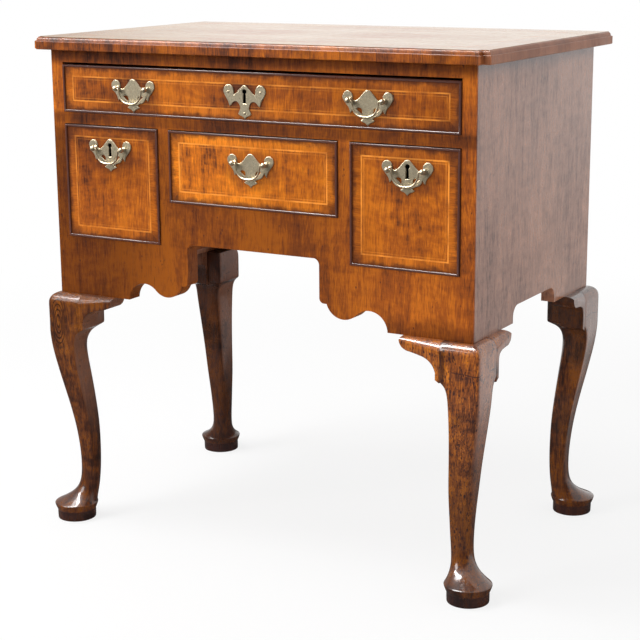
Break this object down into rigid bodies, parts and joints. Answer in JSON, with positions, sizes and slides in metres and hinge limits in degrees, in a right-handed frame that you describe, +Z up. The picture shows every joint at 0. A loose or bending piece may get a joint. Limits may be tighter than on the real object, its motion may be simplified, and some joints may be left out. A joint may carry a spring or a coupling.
{
  "type": "lowboy",
  "caption": "Small dressing table on cabriole legs with pad feet, a long drawer over short drawers, cockbeaded fronts, a shaped apron with a kneehole, and brass bail handles.",
  "frame": {"origin": "on the floor, below the middle of the box that holds the whole piece", "axes": "+Z up; +X to the right of someone who faces the drawers; -Y out of the drawer fronts, towards that person"},
  "size_m": [0.7094, 0.4454, 0.715],
  "materials": {
    "walnut_top": "waxed and glossy quartered walnut veneer",
    "walnut_cross_grain": "polished cross-grain walnut",
    "walnut_side": "waxed solid walnut, vertical grain",
    "walnut_front": "polished walnut veneer",
    "walnut_drawer_front": "polished figured walnut veneer with crossbanding and stringing",
    "walnut_bead": "polished dark walnut",
    "walnut_leg": "polished solid walnut",
    "oak": "plain unpolished oak",
    "brass": "cast brass, aged",
    "iron": "bare iron"
  },
  "bodies": {
    "carcase": {"top_board": "walnut_top", "top_moulding": "walnut_cross_grain", "left_side": "walnut_side", "right_side": "walnut_side", "front_stiles": "walnut_front", "back_panel": "oak", "front_apron": "walnut_front", "left_divider": "walnut_front", "right_divider": "walnut_front", "drawer_runners": "oak", "front_left_leg": "walnut_leg", "front_right_leg": "walnut_leg", "back_left_leg": "walnut_leg", "back_right_leg": "walnut_leg", "front_leg_ears": "walnut_leg", "side_leg_ears": "walnut_leg", "top_rail": "walnut_front", "middle_rail": "walnut_front"},
    "top_drawer": {"top_drawer_front": "walnut_drawer_front", "top_drawer_sides": "oak", "top_drawer_bottom": "oak", "top_drawer_back": "oak", "top_drawer_cockbeads": "walnut_bead", "top_drawer_posts": "brass", "escutcheon": "brass", "top_left_backplate": "brass", "top_right_backplate": "brass", "top_lock_case": "iron"},
    "left_drawer": {"left_drawer_front": "walnut_drawer_front", "left_drawer_sides": "oak", "left_drawer_bottom": "oak", "left_drawer_back": "oak", "left_drawer_cockbeads": "walnut_bead", "left_drawer_posts": "brass", "left_backplate": "brass", "left_lock_case": "iron"},
    "centre_drawer": {"centre_drawer_front": "walnut_drawer_front", "centre_drawer_sides": "oak", "centre_drawer_bottom": "oak", "centre_drawer_back": "oak", "centre_drawer_cockbeads": "walnut_bead", "centre_drawer_posts": "brass", "centre_backplate": "brass"},
    "right_drawer": {"right_drawer_front": "walnut_drawer_front", "right_drawer_sides": "oak", "right_drawer_bottom": "oak", "right_drawer_back": "oak", "right_drawer_cockbeads": "walnut_bead", "right_drawer_posts": "brass", "right_backplate": "brass", "right_lock_case": "iron"},
    "top_left_bail": {"top_left_bail": "brass"},
    "top_right_bail": {"top_right_bail": "brass"},
    "left_bail": {"left_bail": "brass"},
    "centre_bail": {"centre_bail": "brass"},
    "right_bail": {"right_bail": "brass"},
    "top_lock_bolt": {"top_lock_bolt": "iron"},
    "left_lock_bolt": {"left_lock_bolt": "iron"},
    "right_lock_bolt": {"right_lock_bolt": "iron"}
  },
  "joints": [
    {"name": "top_drawer_slide", "type": "slide", "parent": "carcase", "child": "top_drawer", "axis": [0, -1, 0], "range_m": [0, 0.25]},
    {"name": "left_drawer_slide", "type": "slide", "parent": "carcase", "child": "left_drawer", "axis": [0, -1, 0], "range_m": [0, 0.24]},
    {"name": "centre_drawer_slide", "type": "slide", "parent": "carcase", "child": "centre_drawer", "axis": [0, -1, 0], "range_m": [0, 0.24]},
    {"name": "right_drawer_slide", "type": "slide", "parent": "carcase", "child": "right_drawer", "axis": [0, -1, 0], "range_m": [0, 0.24]},
    {"name": "top_left_bail_hinge", "type": "hinge", "parent": "top_drawer", "child": "top_left_bail", "pos_m": [-0.18775, -0.206, 0.647], "axis": [-1, 0, 0], "range_deg": [0, 85]},
    {"name": "top_right_bail_hinge", "type": "hinge", "parent": "top_drawer", "child": "top_right_bail", "pos_m": [0.17855, -0.206, 0.647], "axis": [-1, 0, 0], "range_deg": [0, 85]},
    {"name": "left_bail_hinge", "type": "hinge", "parent": "left_drawer", "child": "left_bail", "pos_m": [-0.2308, -0.206, 0.562], "axis": [-1, 0, 0], "range_deg": [0, 85]},
    {"name": "centre_bail_hinge", "type": "hinge", "parent": "centre_drawer", "child": "centre_bail", "pos_m": [0.0014, -0.206, 0.5555], "axis": [-1, 0, 0], "range_deg": [0, 85]},
    {"name": "right_bail_hinge", "type": "hinge", "parent": "right_drawer", "child": "right_bail", "pos_m": [0.2352, -0.206, 0.562], "axis": [-1, 0, 0], "range_deg": [0, 85]},
    {"name": "top_lock_bolt_slide", "type": "slide", "parent": "top_drawer", "child": "top_lock_bolt", "axis": [0, 0, 1], "range_m": [0, 0.008]},
    {"name": "left_lock_bolt_slide", "type": "slide", "parent": "left_drawer", "child": "left_lock_bolt", "axis": [0, 0, 1], "range_m": [0, 0.008]},
    {"name": "right_lock_bolt_slide", "type": "slide", "parent": "right_drawer", "child": "right_lock_bolt", "axis": [0, 0, 1], "range_m": [0, 0.008]}
  ]
}
